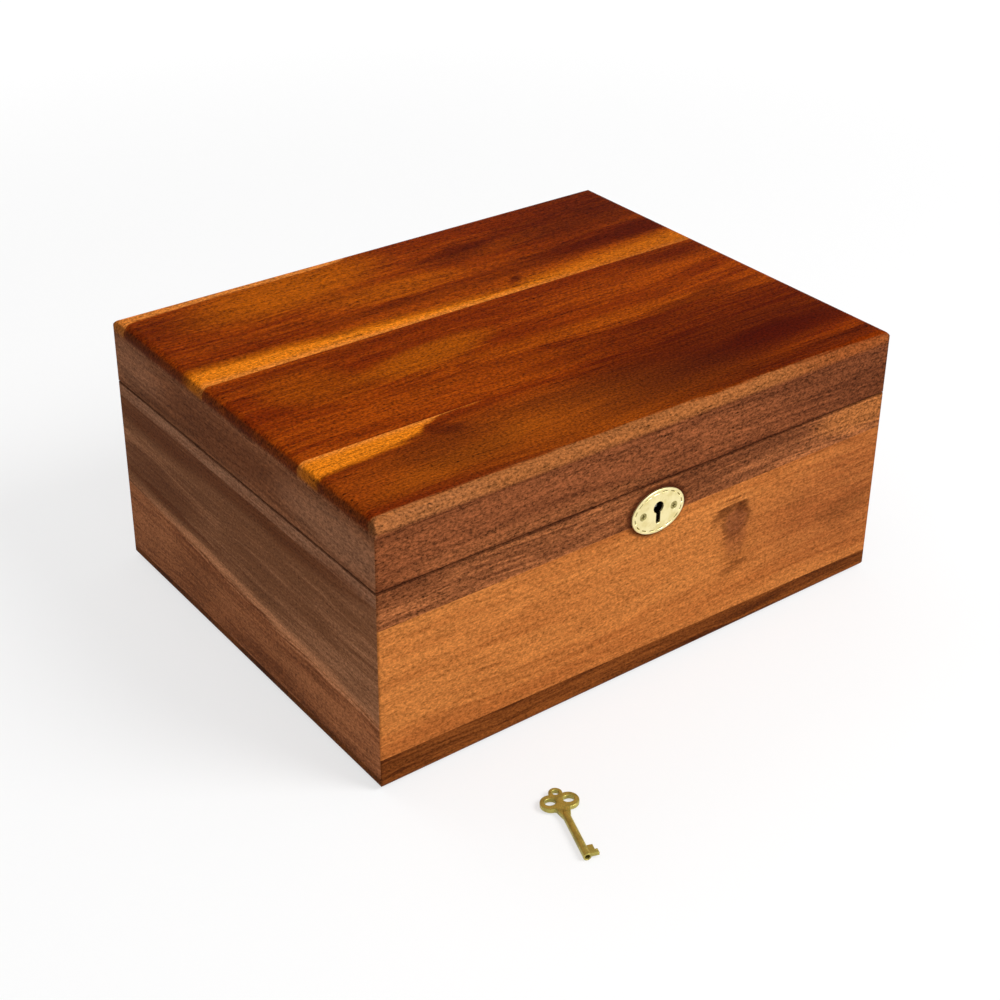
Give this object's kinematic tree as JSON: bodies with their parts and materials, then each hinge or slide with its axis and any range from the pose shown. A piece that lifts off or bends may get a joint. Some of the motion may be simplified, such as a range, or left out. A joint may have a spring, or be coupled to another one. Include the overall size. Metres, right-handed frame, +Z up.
{
  "type": "keepsake box",
  "caption": "Wooden keepsake box of edge-glued boards with a hinged lid, a brass keyhole plate, a box lock and a loose barrel key.",
  "frame": {"origin": "middle of the underside of the bottom, on the surface that the box stands on", "axes": "+Z up, -Y towards the front with the lock, +X to the right seen from the front"},
  "size_m": [0.2794, 0.3025, 0.127],
  "materials": {
    "top_wood": "satin lacquer, red-brown heartwood with orange sapwood streaks",
    "tan_wood": "satin lacquer, tan",
    "plum_wood": "satin lacquer, purple-brown with fine dark pores",
    "brown_wood": "satin lacquer, mid brown",
    "bottom_wood": "satin lacquer, dark brown",
    "pale_brass": "polished pale brass plate",
    "brass": "satin brass plate",
    "key_brass": "antique brass plate",
    "steel": "zinc-plated steel"
  },
  "bodies": {
    "carcass": {"back_wall_board": "brown_wood", "back_wall_low_board": "brown_wood", "base_hinge_leaf_left": "brass", "base_hinge_leaf_right": "brass", "base_hinge_screws": "brass", "bolt_guide_posts": "steel", "bolt_spring": "steel", "bottom_board_back": "bottom_wood", "bottom_board_front": "bottom_wood", "bottom_board_middle": "bottom_wood", "drill_pin": "steel", "escutcheon": "pale_brass", "escutcheon_screws": "pale_brass", "front_wall_board": "tan_wood", "front_wall_low_strip": "plum_wood", "front_wall_strip": "plum_wood", "hinge_pin_left": "brass", "hinge_pin_right": "brass", "left_wall_board": "brown_wood", "left_wall_low_board": "brown_wood", "left_wall_strip": "brown_wood", "lock_case": "steel", "lock_plate": "brass", "lock_screws": "brass", "right_wall_board": "brown_wood", "right_wall_low_board": "brown_wood", "right_wall_strip": "brown_wood"},
    "lid": {"lid_back_wall": "brown_wood", "lid_front_wall": "plum_wood", "lid_hinge_leaf_left": "brass", "lid_hinge_leaf_right": "brass", "lid_hinge_screws": "brass", "lid_left_wall": "brown_wood", "lid_right_wall": "brown_wood", "strike_plate": "brass", "strike_screws": "brass", "top_board_back": "top_wood", "top_board_front": "top_wood", "top_board_middle": "top_wood"},
    "lock_bolt": {"lock_bolt": "steel"},
    "key": {"key": "key_brass"}
  },
  "joints": [
    {"name": "lid_hinge", "type": "hinge", "parent": "carcass", "child": "lid", "pos_m": [0, 0.1103, 0.0956], "axis": [-1, 0, 0], "range_deg": [0, 95]},
    {"name": "bolt_slide", "type": "slide", "parent": "carcass", "child": "lock_bolt", "axis": [1, 0, 0], "range_m": [0, 0.0035]},
    {"name": "key_lift", "type": "slide", "parent": "carcass", "child": "key", "axis": [0, 0, 1], "range_m": [0, 0.12]}
  ]
}
